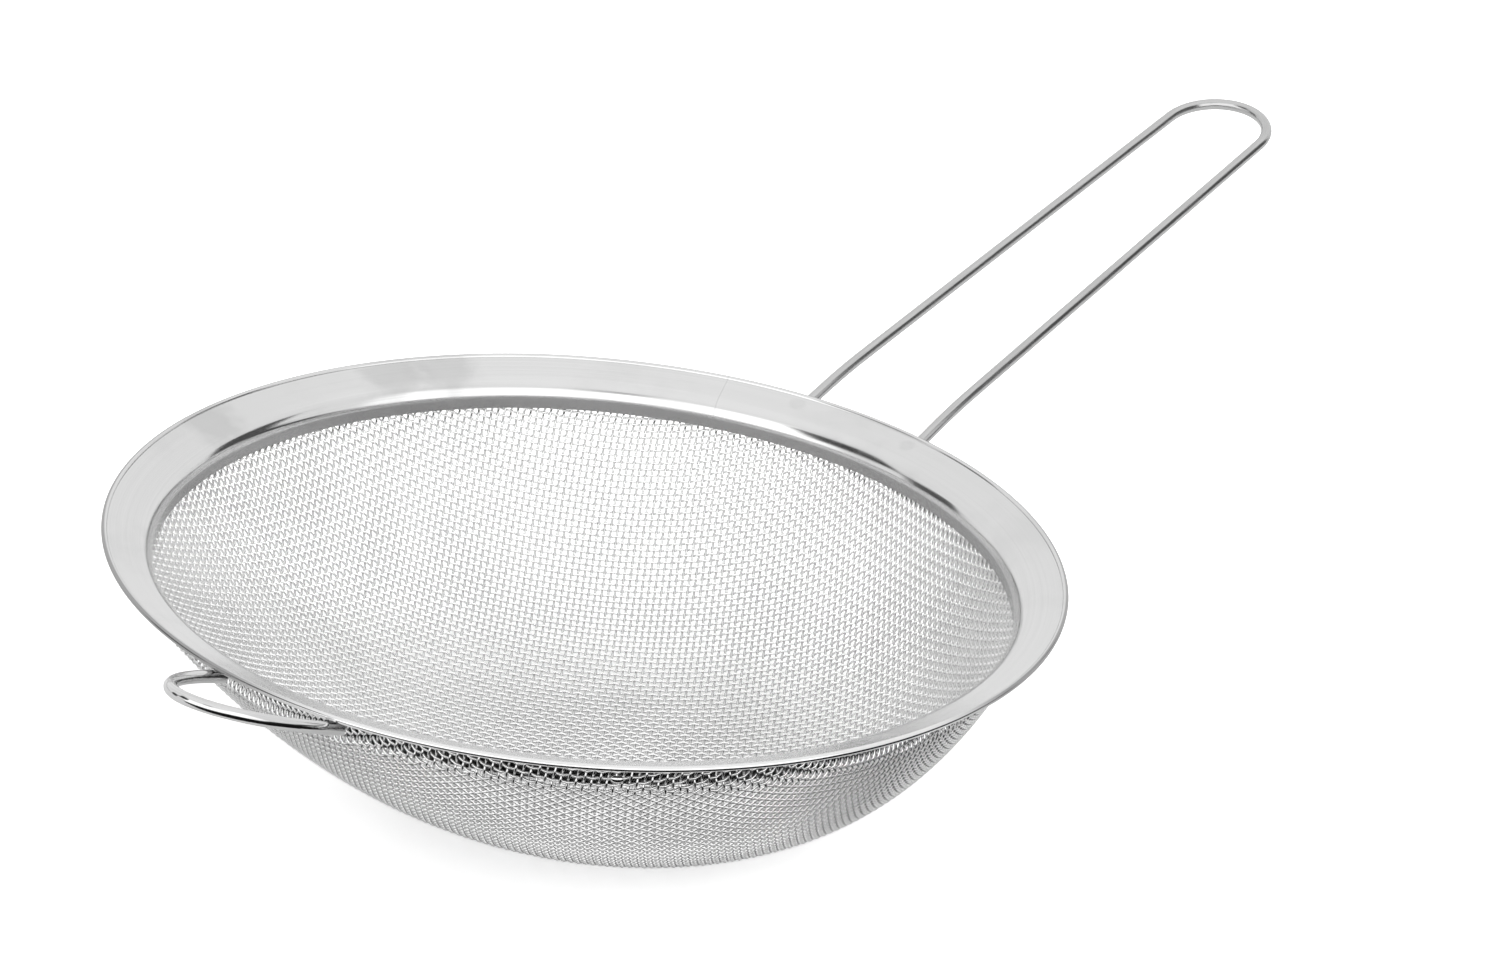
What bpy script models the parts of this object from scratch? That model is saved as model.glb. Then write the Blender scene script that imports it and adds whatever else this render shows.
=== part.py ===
"""Mesh strainer: a pressed rim, a woven steel bowl, a wire handle and a wire rest hook.

The origin is the middle of the small flat at the bottom of the bowl, on the surface
that the strainer stands on. +Z is up, square to the rim. +X runs along the handle,
and the rest hook points the other way. Units are metres.
"""

import math

import bmesh
import bpy
from mathutils import Vector

# Pressed rim
RIM_DIAMETER = 0.2200
RIM_HEIGHT = 0.0610
BEAD_DIAMETER = 0.0014
SHEET_THICKNESS = 0.0005
FLANGE_SLOPE = math.radians(18.0)
FLANGE_WIDTH = 0.0117
FILLET_RADIUS = 0.0048
COLLAR_DEPTH = 0.0096
RIM_STEPS = 72
FILLET_STEPS = 6
BEAD_SIDES = 10
SHARP_ANGLE = math.radians(40.0)
WELD_DISTANCE = 0.000001

# Woven bowl: the bars stand for the wires of the cloth, several wires to each bar
CLOTH_CLEARANCE = 0.0006
CLOTH_THICKNESS = 0.0008
BAR_WIDTH = 0.0011
BAR_PITCH = 0.0120
CLOTH_TURN = math.radians(31.0)
CLOTH_TOP_DEPTH = 0.0055
BOWL_FULLNESS = 3.0
BASE_FLAT_RADIUS = 0.0180
RIM_SHIFT_X = -0.0080
RIM_SHIFT_Y = 0.0090
MERIDIAN_STEPS = 400
SOLVER_ROUNDS = 12
SOLVER_NUDGE = 0.00001
SHORT_SIDE_AT_COLLAR = 0.0031
SHORT_SIDE_AT_TOP = 0.0033
SMALLEST_GAP_SIDE = 0.0033

# Wire of the handle and of the rest hook
WIRE_DIAMETER = 0.0029
SEAT_GAP = 0.0003
WIRE_SMOOTHNESS = 4
BEND_STEPS = 4
STRAIGHT_STEPS = 5
LOOP_STEPS = 18
HOOK_STEPS = 24

# Handle, from the rim's outer edge to the outside of its end loop
HANDLE_LENGTH = 0.1711
HANDLE_ROOT_SPREAD = 0.0333
HANDLE_END_SPREAD = 0.0277
HANDLE_DIVERGENCE = math.radians(1.0)
HANDLE_RISE = math.radians(13.7)
HANDLE_BEND_DISTANCE = 0.0139
HANDLE_BEND_HALF_LENGTH = 0.0080

# Rest hook, from the rim's outer edge to the outside of its end
HOOK_LENGTH = 0.0265
HOOK_SPREAD = 0.0329
HOOK_NOSE_LENGTH = 0.0302
HOOK_DIVERGENCE = math.radians(2.6)

# Values that follow from the driving sizes
RIM_RADIUS = RIM_DIAMETER / 2
BEAD_RADIUS = BEAD_DIAMETER / 2
BEAD_CENTRE_RADIUS = RIM_RADIUS - BEAD_RADIUS
COLLAR_RADIUS = RIM_RADIUS - FLANGE_WIDTH + SHEET_THICKNESS / 2
CLOTH_RADIUS = COLLAR_RADIUS + SHEET_THICKNESS / 2 + CLOTH_CLEARANCE + CLOTH_THICKNESS / 2
CLOTH_CORNER_Z = RIM_HEIGHT - COLLAR_DEPTH - CLOTH_CLEARANCE
CLOTH_TOP_Z = RIM_HEIGHT - CLOTH_TOP_DEPTH
CLOTH_BASE_Z = CLOTH_THICKNESS / 2
WIRE_RADIUS = WIRE_DIAMETER / 2
RIM_CENTRE = Vector((RIM_SHIFT_X, RIM_SHIFT_Y, RIM_HEIGHT))


def clear_scene():
    """Remove every object that the file opened with."""
    for found in list(bpy.data.objects):
        bpy.data.objects.remove(found, do_unlink=True)


def steel(name, colour, roughness):
    """Return a Principled steel material of the given colour and roughness."""
    material = bpy.data.materials.new(name)
    material.use_nodes = True
    shader = material.node_tree.nodes["Principled BSDF"]
    shader.inputs["Base Color"].default_value = (*colour, 1.0)
    shader.inputs["Metallic"].default_value = 1.0
    shader.inputs["Roughness"].default_value = roughness
    return material


def add_object(name, data, location, material):
    """Link one named object to the scene."""
    made = bpy.data.objects.new(name, data)
    made.location = location
    data.materials.append(material)
    bpy.context.scene.collection.objects.link(made)
    return made


def flange_meets_fillet():
    """Return the sheet's mid-line point where the sloped flange turns into the fillet."""
    radius = COLLAR_RADIUS + FILLET_RADIUS * (1.0 - math.sin(FLANGE_SLOPE))
    height = -(BEAD_CENTRE_RADIUS - radius) * math.tan(FLANGE_SLOPE)
    return radius, height


def rim_profile():
    """Return the rim's closed section as (radius, height) pairs about the bead's centre.

    The sheet runs from the round bead down the sloped flange, through the fillet and
    down the upright collar, and comes back half a sheet further out.
    """
    half = SHEET_THICKNESS / 2
    start_radius, start_height = flange_meets_fillet()
    centre_radius = COLLAR_RADIUS + FILLET_RADIUS
    centre_height = start_height - FILLET_RADIUS * math.cos(FLANGE_SLOPE)

    def fillet(offset):
        turned = []
        for step in range(FILLET_STEPS + 1):
            share = step / FILLET_STEPS
            angle = math.pi / 2 + FLANGE_SLOPE + share * (math.pi / 2 - FLANGE_SLOPE)
            reach = FILLET_RADIUS + offset
            turned.append((centre_radius + reach * math.cos(angle),
                           centre_height + reach * math.sin(angle)))
        return turned

    # The bead is open towards the flange by the angle that the sheet takes up.
    opening = math.asin(half / BEAD_RADIUS)
    bead = []
    first = math.pi + FLANGE_SLOPE + opening
    sweep = 2.0 * (math.pi - opening)
    for step in range(BEAD_SIDES + 1):
        angle = first + sweep * step / BEAD_SIDES
        bead.append((BEAD_CENTRE_RADIUS + BEAD_RADIUS * math.cos(angle),
                     BEAD_RADIUS * math.sin(angle)))
    upper = fillet(half)
    lower = fillet(-half)
    upper.append((COLLAR_RADIUS - half, -COLLAR_DEPTH))
    lower.append((COLLAR_RADIUS + half, -COLLAR_DEPTH))
    return bead + upper + lower[::-1]


def spin_profile(profile, steps):
    """Turn a closed (radius, height) section about Z into a closed ring."""
    shape = bmesh.new()
    corners = [shape.verts.new((radius, 0.0, height)) for radius, height in profile]
    sides = []
    for index, corner in enumerate(corners):
        sides.append(shape.edges.new((corner, corners[(index + 1) % len(corners)])))
    bmesh.ops.spin(shape, geom=corners + sides, cent=(0, 0, 0), axis=(0, 0, 1),
                   angle=math.tau, steps=steps, use_merge=True, use_duplicate=False)
    bmesh.ops.remove_doubles(shape, verts=shape.verts, dist=WELD_DISTANCE)
    bmesh.ops.recalc_face_normals(shape, faces=shape.faces)
    return shape


def to_mesh(name, shape):
    """Write a bmesh to a new smooth-shaded mesh and free it."""
    mesh = bpy.data.meshes.new(name)
    shape.to_mesh(mesh)
    shape.free()
    mesh.shade_smooth()
    mesh.set_sharp_from_angle(angle=SHARP_ANGLE)
    return mesh


def make_rim():
    """Build the pressed rim: rolled bead, sloped flange, fillet and upright collar."""
    ring = spin_profile(rim_profile(), RIM_STEPS)
    material = steel("rim_steel", (0.80, 0.80, 0.80), 0.22)
    return add_object("rim", to_mesh("rim", ring), RIM_CENTRE, material)


def wall_height(radius):
    """Return the height of the cloth's middle at a distance from the bowl's axis."""
    span = CLOTH_RADIUS ** BOWL_FULLNESS - BASE_FLAT_RADIUS ** BOWL_FULLNESS
    rise = max(0.0, radius ** BOWL_FULLNESS - BASE_FLAT_RADIUS ** BOWL_FULLNESS) / span
    return CLOTH_BASE_Z + (CLOTH_CORNER_Z - CLOTH_BASE_Z) * rise


def meridian_table():
    """Return the cloth's section as (arc length, radius, height) rows from the base out."""
    rows = [(0.0, 0.0, wall_height(0.0))]
    for step in range(1, MERIDIAN_STEPS + 1):
        radius = CLOTH_RADIUS * step / MERIDIAN_STEPS
        height = wall_height(radius)
        length = rows[-1][0] + math.hypot(radius - rows[-1][1], height - rows[-1][2])
        rows.append((length, radius, height))
    return rows


MERIDIAN = meridian_table()
WALL_LENGTH = MERIDIAN[-1][0]


def on_cloth(flat):
    """Place a point of the flat cloth, measured along the cloth, on the bowl's wall.

    Beyond the wall's top corner the cloth runs straight up round the collar. The base
    sits off the rim's axis, so each level is shifted in step with its height.
    """
    length = flat.length
    if length >= WALL_LENGTH:
        radius = CLOTH_RADIUS
        height = CLOTH_CORNER_Z + length - WALL_LENGTH
    else:
        low = 0
        high = MERIDIAN_STEPS
        while high - low > 1:
            middle = (low + high) // 2
            if MERIDIAN[middle][0] <= length:
                low = middle
            else:
                high = middle
        before = MERIDIAN[low]
        after = MERIDIAN[high]
        share = (length - before[0]) / (after[0] - before[0])
        radius = before[1] + share * (after[1] - before[1])
        height = before[2] + share * (after[2] - before[2])
    outward = flat / length if length > 0.0 else Vector((1.0, 0.0))
    climbed = (height - CLOTH_BASE_Z) / (CLOTH_CORNER_Z - CLOTH_BASE_Z)
    shift = min(1.0, max(0.0, climbed))
    return Vector((RIM_SHIFT_X * shift + radius * outward.x,
                   RIM_SHIFT_Y * shift + radius * outward.y, height))


def one_pitch_on(start, way):
    """Return the flat point one pitch along the wall from the start, straight on."""
    step = BAR_PITCH
    for _ in range(SOLVER_ROUNDS):
        step *= BAR_PITCH / (on_cloth(start + way * step) - on_cloth(start)).length
    return start + way * step


def next_crossing(beside, below, guess):
    """Return the flat point one pitch along the wall from both neighbouring crossings.

    Woven cloth shears but doesn't stretch, so each cell keeps four equal sides.
    """
    flat = guess.copy()
    first = on_cloth(beside)
    second = on_cloth(below)
    for _ in range(SOLVER_ROUNDS):
        here = on_cloth(flat)
        along_x = on_cloth(flat + Vector((SOLVER_NUDGE, 0.0)))
        along_y = on_cloth(flat + Vector((0.0, SOLVER_NUDGE)))
        first_side = (here - first).length
        second_side = (here - second).length
        first_by_x = ((along_x - first).length - first_side) / SOLVER_NUDGE
        first_by_y = ((along_y - first).length - first_side) / SOLVER_NUDGE
        second_by_x = ((along_x - second).length - second_side) / SOLVER_NUDGE
        second_by_y = ((along_y - second).length - second_side) / SOLVER_NUDGE
        miss_first = first_side - BAR_PITCH
        miss_second = second_side - BAR_PITCH
        scale = first_by_x * second_by_y - first_by_y * second_by_x
        flat.x -= (second_by_y * miss_first - first_by_y * miss_second) / scale
        flat.y -= (first_by_x * miss_second - second_by_x * miss_first) / scale
    return flat


def crossings():
    """Return the flat positions of the bars' crossings, keyed by column and row."""
    cloth_length = WALL_LENGTH + CLOTH_TOP_Z - CLOTH_CORNER_Z
    reach = math.ceil(cloth_length / BAR_PITCH) + 1
    limit = cloth_length + 1.5 * BAR_PITCH
    column_way = Vector((math.cos(CLOTH_TURN), math.sin(CLOTH_TURN)))
    row_way = Vector((-column_way.y, column_way.x))
    found = {(0, 0): Vector((0.0, 0.0))}
    for sign in (-1, 1):
        for step in range(1, reach + 1):
            found[(sign * step, 0)] = one_pitch_on(found[(sign * (step - 1), 0)],
                                                   column_way * sign)
            found[(0, sign * step)] = one_pitch_on(found[(0, sign * (step - 1))],
                                                   row_way * sign)
    for side_x in (-1, 1):
        for side_y in (-1, 1):
            for i in range(1, reach + 1):
                for j in range(1, reach + 1):
                    beside = found.get((side_x * (i - 1), side_y * j))
                    below = found.get((side_x * i, side_y * (j - 1)))
                    corner = found.get((side_x * (i - 1), side_y * (j - 1)))
                    if beside is None or below is None or corner is None:
                        continue
                    guess = beside + below - corner
                    if guess.length > limit:
                        continue
                    found[(side_x * i, side_y * j)] = next_crossing(beside, below, guess)
    return found


def level_ring(shape, height, drop_above):
    """Cut the cloth at a level and push the cut's corners out to the collar's circle."""
    everything = shape.verts[:] + shape.edges[:] + shape.faces[:]
    cut = bmesh.ops.bisect_plane(shape, geom=everything, dist=WELD_DISTANCE,
                                 plane_co=(0, 0, height), plane_no=(0, 0, 1),
                                 clear_outer=drop_above)
    ring = [item for item in cut["geom_cut"] if isinstance(item, bmesh.types.BMVert)]
    for corner in ring:
        outward = Vector((corner.co.x - RIM_SHIFT_X, corner.co.y - RIM_SHIFT_Y)).normalized()
        corner.co.x = RIM_SHIFT_X + CLOTH_RADIUS * outward.x
        corner.co.y = RIM_SHIFT_Y + CLOTH_RADIUS * outward.y
    return ring


def weld_short_sides(shape, ring, distance):
    """Weld corners that lie closer together than the distance, first along the ring.

    The ring's own corners then stay where they are, so that the cut stays round.
    """
    along = bmesh.ops.find_doubles(shape, verts=ring, dist=distance)
    bmesh.ops.weld_verts(shape, targetmap=along["targetmap"])
    held = [corner for corner in ring if corner.is_valid]
    across = bmesh.ops.find_doubles(shape, verts=shape.verts[:], keep_verts=held, dist=distance)
    bmesh.ops.weld_verts(shape, targetmap=across["targetmap"])


def make_bowl():
    """Build the woven bowl as one open net of bars, trimmed level round the collar."""
    flat = crossings()
    shape = bmesh.new()
    corners = {key: shape.verts.new(on_cloth(place)) for key, place in flat.items()}
    for i, j in flat:
        cell = [corners.get(key) for key in ((i, j), (i + 1, j), (i + 1, j + 1), (i, j + 1))]
        if None not in cell:
            shape.faces.new(cell)
    loose = [corner for corner in shape.verts if not corner.link_faces]
    bmesh.ops.delete(shape, geom=loose, context="VERTS")
    corner_ring = level_ring(shape, CLOTH_CORNER_Z, False)
    weld_short_sides(shape, corner_ring, SHORT_SIDE_AT_COLLAR)
    top_ring = level_ring(shape, CLOTH_TOP_Z, True)
    weld_short_sides(shape, top_ring, SHORT_SIDE_AT_TOP)
    bmesh.ops.dissolve_degenerate(shape, dist=WELD_DISTANCE, edges=shape.edges[:])
    bmesh.ops.recalc_face_normals(shape, faces=shape.faces)
    gaps = [face for face in shape.faces if face.calc_area() > SMALLEST_GAP_SIDE ** 2]
    bmesh.ops.inset_individual(shape, faces=gaps, thickness=BAR_WIDTH / 2,
                               use_even_offset=True)
    bmesh.ops.delete(shape, geom=gaps, context="FACES")
    material = steel("cloth_steel", (0.72, 0.72, 0.72), 0.30)
    bowl = add_object("mesh_bowl", to_mesh("mesh_bowl", shape), Vector(), material)
    thick = bowl.modifiers.new("thickness", "SOLIDIFY")
    thick.thickness = CLOTH_THICKNESS
    thick.offset = 0.0
    return bowl


def wire_end_reach(half_spread, slope):
    """Return how far out from the rim's axis a wire starts, clear of the cloth."""
    clear = CLOTH_RADIUS + CLOTH_THICKNESS / 2 + SEAT_GAP
    inner_side = half_spread - WIRE_RADIUS
    return math.sqrt(clear ** 2 - inner_side ** 2) + WIRE_RADIUS * math.sin(slope)


def height_under_bead(reach, half_spread, slope):
    """Return a wire's height where it runs out just under the rim's bead."""
    under = BEAD_RADIUS + SEAT_GAP + WIRE_RADIUS / math.cos(slope)
    crossing = math.sqrt(BEAD_CENTRE_RADIUS ** 2 - half_spread ** 2)
    return (reach - crossing) * math.tan(slope) - under


def make_wire(name, points, material):
    """Bend one round wire through the points, with flat closed ends."""
    path = bpy.data.curves.new(name, "CURVE")
    path.dimensions = "3D"
    path.bevel_depth = WIRE_RADIUS
    path.bevel_resolution = WIRE_SMOOTHNESS
    path.use_fill_caps = True
    line = path.splines.new("POLY")
    line.points.add(len(points) - 1)
    for spot, place in zip(line.points, points):
        spot.co = (*place, 1.0)
    line.use_smooth = True
    return add_object(name, path, RIM_CENTRE, material)


def handle_height(reach, root_slope):
    """Return the handle's height at a reach: steep under the flange, then flatter."""
    half = HANDLE_ROOT_SPREAD / 2
    bend = RIM_RADIUS + HANDLE_BEND_DISTANCE
    bend_start = bend - HANDLE_BEND_HALF_LENGTH
    bend_end = bend + HANDLE_BEND_HALF_LENGTH
    change = math.tan(HANDLE_RISE) - math.tan(root_slope)
    height = height_under_bead(reach, half, root_slope)
    if reach > bend_end:
        return height + change * (reach - bend)
    if reach > bend_start:
        return height + change * (reach - bend_start) ** 2 / (4 * HANDLE_BEND_HALF_LENGTH)
    return height


def handle_points():
    """Return the handle's route: out one side, round the end loop and back."""
    root_slope = FLANGE_SLOPE + HANDLE_DIVERGENCE
    root_half = HANDLE_ROOT_SPREAD / 2
    end_half = HANDLE_END_SPREAD / 2
    loop_centre = RIM_RADIUS + HANDLE_LENGTH - WIRE_RADIUS - end_half
    start = wire_end_reach(root_half, root_slope)
    bend = RIM_RADIUS + HANDLE_BEND_DISTANCE
    reaches = [start, RIM_RADIUS]
    for step in range(BEND_STEPS + 1):
        reaches.append(bend + HANDLE_BEND_HALF_LENGTH * (2 * step / BEND_STEPS - 1))
    bend_end = reaches[-1]
    for step in range(1, STRAIGHT_STEPS + 1):
        reaches.append(bend_end + (loop_centre - bend_end) * step / STRAIGHT_STEPS)
    side = []
    for reach in reaches:
        share = (reach - RIM_RADIUS) / (loop_centre - RIM_RADIUS)
        half = root_half + (end_half - root_half) * share
        side.append((reach, half, handle_height(reach, root_slope)))
    loop = []
    for step in range(1, LOOP_STEPS):
        angle = math.pi / 2 - math.pi * step / LOOP_STEPS
        reach = loop_centre + end_half * math.cos(angle)
        loop.append((reach, end_half * math.sin(angle), handle_height(reach, root_slope)))
    return side + loop + [(x, -y, z) for x, y, z in reversed(side)]


def hook_points():
    """Return the rest hook's route: two short arms and a rounded nose, rising outwards."""
    slope = FLANGE_SLOPE + HOOK_DIVERGENCE
    half = HOOK_SPREAD / 2
    nose_start = RIM_RADIUS + HOOK_LENGTH - WIRE_RADIUS - HOOK_NOSE_LENGTH
    start = wire_end_reach(half, slope)
    first = math.acos(max(0.0, start - nose_start) / HOOK_NOSE_LENGTH)
    points = []
    for step in range(HOOK_STEPS + 1):
        angle = first - 2.0 * first * step / HOOK_STEPS
        reach = nose_start + HOOK_NOSE_LENGTH * math.cos(angle)
        points.append((-reach, half * math.sin(angle), height_under_bead(reach, half, slope)))
    return points


def main():
    """Build the whole strainer."""
    clear_scene()
    make_rim()
    make_bowl()
    wire_steel = steel("wire_steel", (0.76, 0.76, 0.76), 0.18)
    make_wire("handle", handle_points(), wire_steel)
    make_wire("rest_hook", hook_points(), wire_steel)


main()
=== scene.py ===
"""Looks of the mesh strainer: pressed rim, woven bowl, bent handle and rest hook.

Lengths are in metres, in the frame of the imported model. The origin is the middle of the
flat under the bowl, +Z is up, square to the rim, and +X runs along the handle.
"""

import logging
import math
from abc import ABC, abstractmethod
from dataclasses import asdict, dataclass
from enum import Enum
from typing import Any

import bmesh
import bpy
import numpy as np
from mathutils import Matrix, Vector


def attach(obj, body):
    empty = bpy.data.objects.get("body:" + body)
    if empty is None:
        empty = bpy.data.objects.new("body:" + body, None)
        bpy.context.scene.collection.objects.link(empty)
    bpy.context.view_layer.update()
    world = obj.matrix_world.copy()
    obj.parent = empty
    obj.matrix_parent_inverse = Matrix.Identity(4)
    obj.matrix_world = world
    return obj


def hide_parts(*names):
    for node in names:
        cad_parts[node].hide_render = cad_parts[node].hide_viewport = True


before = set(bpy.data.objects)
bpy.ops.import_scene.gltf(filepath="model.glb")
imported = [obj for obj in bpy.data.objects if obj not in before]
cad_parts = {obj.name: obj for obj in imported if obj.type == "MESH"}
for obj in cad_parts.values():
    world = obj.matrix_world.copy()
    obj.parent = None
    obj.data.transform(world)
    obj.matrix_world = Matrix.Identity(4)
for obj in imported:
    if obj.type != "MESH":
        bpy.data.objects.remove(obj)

LOG = logging.getLogger("strainer")
Array = np.ndarray
Colour = tuple[float, float, float, float]
Point = tuple[float, float, float]
Section = list[tuple[float, float]]
Socket = bpy.types.NodeSocket


class Slot(Enum):
    """Material slots of the record; the welds keep one each, which nothing reads."""

    RIM = "rim_steel"
    CLOTH = "cloth_steel"
    WIRE = "wire_steel"


class Way(Enum):
    """The two directions of the woven cloth."""

    WARP = "warp"
    WEFT = "weft"


def grey(level: float) -> Colour:
    """Return a neutral colour of the given level."""
    return (level, level, level, 1.0)


class Graph:
    """Adds and joins the nodes of one node tree."""

    def __init__(self, tree: bpy.types.NodeTree) -> None:
        """Keep the tree that is built."""
        self.tree = tree

    def add(self, kind: str, feeds: dict[str | int, Any] | None = None,
            **settings: Any) -> bpy.types.Node:
        """Add one node.

        Args:
            kind: The node's type name.
            feeds: Values or sockets for the inputs, by name or number.
            settings: Properties of the node itself.

        Returns:
            The new node.
        """
        node = self.tree.nodes.new(kind)
        for name, value in settings.items():
            setattr(node, name, value)
        for name, value in (feeds or {}).items():
            if isinstance(value, Socket):
                self.join(value, node.inputs[name])
            else:
                node.inputs[name].default_value = value
        return node

    def join(self, source: Socket, target: Socket) -> None:
        """Link one socket to another."""
        self.tree.links.new(source, target)

    def math(self, operation: str, *values: Any) -> Socket:
        """Add a Math node and return its result."""
        return self.add("ShaderNodeMath", dict(enumerate(values)), operation=operation).outputs[0]

    def length(self, first: Socket, second: Socket) -> Socket:
        """Return the length of a vector from its two parts."""
        squares = [self.math("MULTIPLY", part, part) for part in (first, second)]
        return self.math("SQRT", self.math("ADD", *squares))

    def weigh(self, *terms: tuple[Socket, float]) -> Socket:
        """Multiply each value by its weight and return their sum."""
        total, *others = [self.math("MULTIPLY", value, weight) for value, weight in terms]
        for other in others:
            total = self.math("ADD", total, other)
        return total

    def measure(self, operation: str, *vectors: Any) -> Socket:
        """Add a Vector Math node and return the number that it works out."""
        feeds = dict(enumerate(vectors))
        return self.add("ShaderNodeVectorMath", feeds, operation=operation).outputs["Value"]

    def split(self, vector: Socket) -> bpy.types.NodeOutputs:
        """Return the three parts of a vector."""
        return self.add("ShaderNodeSeparateXYZ", {0: vector}).outputs

    def span(self, value: Socket, low: float, high: float, start: float = 0.0,
             end: float = 1.0) -> Socket:
        """Map a value from low..high to start..end along a smooth step.

        Args:
            value: The value to map.
            low: Where the step starts.
            high: Where the step ends.
            start: The result at and below low.
            end: The result at and above high.

        Returns:
            The mapped value.
        """
        feeds = {"Value": value, "From Min": low, "From Max": high, "To Min": start, "To Max": end}
        node = self.add("ShaderNodeMapRange", feeds, interpolation_type="SMOOTHSTEP")
        return node.outputs["Result"]

    def noise(self, vector: Socket, scale: Any, detail: float = 2.0,
              roughness: float = 0.5) -> Socket:
        """Add a Noise Texture and return its value."""
        feeds = {"Vector": vector, "Scale": scale, "Detail": detail, "Roughness": roughness}
        return self.add("ShaderNodeTexNoise", feeds).outputs["Fac"]

    def mapped(self, vector: Socket, scale: Point = (1.0, 1.0, 1.0),
               turn: Point = (0.0, 0.0, 0.0), shift: Point = (0.0, 0.0, 0.0)) -> Socket:
        """Add a Mapping node that shifts, turns and scales a vector."""
        feeds = {"Vector": vector, "Location": shift, "Rotation": turn, "Scale": scale}
        return self.add("ShaderNodeMapping", feeds).outputs[0]

    def blend(self, factor: Socket, first: Any, second: Any, share: float = 1.0) -> Socket:
        """Mix a second colour into the first by a share of a factor."""
        feeds = {0: self.math("MULTIPLY", factor, share), 6: first, 7: second}
        return self.add("ShaderNodeMix", feeds, data_type="RGBA").outputs[2]

    def use(self, group: bpy.types.NodeTree, feeds: dict[str, Any]) -> bpy.types.NodeOutputs:
        """Place a node group with its own values and return its outputs."""
        return self.add("ShaderNodeGroup", feeds, node_tree=group).outputs


class Effect(Graph):
    """The graph of a shader node group with named sockets."""

    def __init__(self, name: str, vectors: tuple[str, ...], numbers: tuple[str, ...],
                 results: tuple[str, ...]) -> None:
        """Start the group.

        Args:
            name: The group's name.
            vectors: Names of the inputs that take vectors.
            numbers: Names of the inputs that take numbers.
            results: Names of the outputs, which are all numbers.
        """
        super().__init__(bpy.data.node_groups.new(name, "ShaderNodeTree"))
        for side, kind, labels in (("INPUT", "Vector", vectors), ("INPUT", "Float", numbers),
                                   ("OUTPUT", "Float", results)):
            for label in labels:
                self.tree.interface.new_socket(label, in_out=side,
                                               socket_type="NodeSocket" + kind)
        self.given = self.add("NodeGroupInput").outputs
        self.result = self.add("NodeGroupOutput").inputs

    def ragged_gap(self, scale: float, detail: float, amount: float) -> Socket:
        """Return how many Sizes Vector lies from Spot, made uneven by noise.

        Args:
            scale: Scale of the noise.
            detail: Detail of the noise.
            amount: How far the noise moves the gap, in Sizes.

        Returns:
            The uneven gap.
        """
        gap = self.measure("DISTANCE", self.given["Vector"], self.given["Spot"])
        cloud = self.noise(self.given["Vector"], scale, detail)
        return self.math("ADD", self.math("DIVIDE", gap, self.given["Size"]),
                         self.math("MULTIPLY", cloud, amount))


def spun_lines_group() -> bpy.types.NodeTree:
    """Build the group for fine lines that run round the Z axis, as a lathe leaves them.

    Returns:
        The group: Vector and Density in, Lines out, from 0 to 1.
    """
    graph = Effect("spun_lines", ("Vector",), ("Density",), ("Lines",))
    parts = graph.split(graph.given["Vector"])
    across = graph.length(parts[0], parts[1])
    track = graph.math("MULTIPLY", graph.math("ADD", across, parts[2]), graph.given["Density"])
    east = graph.math("DIVIDE", parts[0], across)
    north = graph.math("DIVIDE", parts[1], across)
    place = graph.add("ShaderNodeCombineXYZ", {0: track, 1: east, 2: north}).outputs[0]
    graph.join(graph.span(graph.noise(place, 1.0, 3.0, 0.6), 0.3, 0.7), graph.result["Lines"])
    return graph.tree


def drawn_lines_group() -> bpy.types.NodeTree:
    """Build the group for the fine lines that a die leaves along drawn wire.

    Returns:
        The group: Grain and Density in, Lines out, from 0 to 1. Grain holds the place
        round the wire in X and Y and along it in Z.
    """
    graph = Effect("drawn_lines", ("Grain",), ("Density",), ("Lines",))
    stretched = graph.mapped(graph.given["Grain"], (1.0, 1.0, 0.02))
    lines = graph.noise(stretched, graph.given["Density"], 2.0, 0.6)
    graph.join(graph.span(lines, 0.3, 0.7), graph.result["Lines"])
    return graph.tree


def handling_group() -> bpy.types.NodeTree:
    """Build the group for the marks of handling: soft smudges and hair-fine scratches.

    Returns:
        The group: Vector in, Smudge and Scratch out, from 0 to 1.
    """
    graph = Effect("handling", ("Vector",), (), ("Smudge", "Scratch"))
    vector = graph.given["Vector"]
    cloud = graph.noise(vector, 45.0, 4.0, 0.55)
    graph.join(graph.span(cloud, 0.46, 0.72), graph.result["Smudge"])
    hairs = []
    for turn, seed in ((0.5, 0.0), (1.9, 3.1), (2.8, 7.7)):
        laid = graph.mapped(vector, (60.0, 2600.0, 300.0), (0.0, 0.0, turn), (seed, seed, seed))
        hairs.append(graph.span(graph.noise(laid, 1.0, 1.0), 0.70, 0.78))
    either = graph.math("MAXIMUM", graph.math("MAXIMUM", hairs[0], hairs[1]), hairs[2])
    graph.join(either, graph.result["Scratch"])
    return graph.tree


def weld_mark_group() -> bpy.types.NodeTree:
    """Build the group for the mark that one spot weld leaves on the sheet's other side.

    Returns:
        The group: Vector, Spot and Size in, Stain and Dimple out, from 0 to 1.
    """
    graph = Effect("weld_mark", ("Vector", "Spot"), ("Size",), ("Stain", "Dimple"))
    gap = graph.ragged_gap(900.0, 2.0, 0.6)
    ring = graph.math("MULTIPLY", graph.span(gap, 0.5, 0.9), graph.span(gap, 0.95, 1.5, 1.0, 0.0))
    graph.join(ring, graph.result["Stain"])
    graph.join(graph.span(gap, 0.4, 1.1, 1.0, 0.0), graph.result["Dimple"])
    return graph.tree


def rubbed_group() -> bpy.types.NodeTree:
    """Build the group for one soft patch that handling has rubbed dull.

    Returns:
        The group: Vector, Spot and Size in, Rub out, from 0 to 1.
    """
    graph = Effect("rubbed_patch", ("Vector", "Spot"), ("Size",), ("Rub",))
    gap = graph.ragged_gap(160.0, 3.0, 0.9)
    graph.join(graph.span(gap, 0.8, 1.5, 1.0, 0.0), graph.result["Rub"])
    return graph.tree


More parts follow.
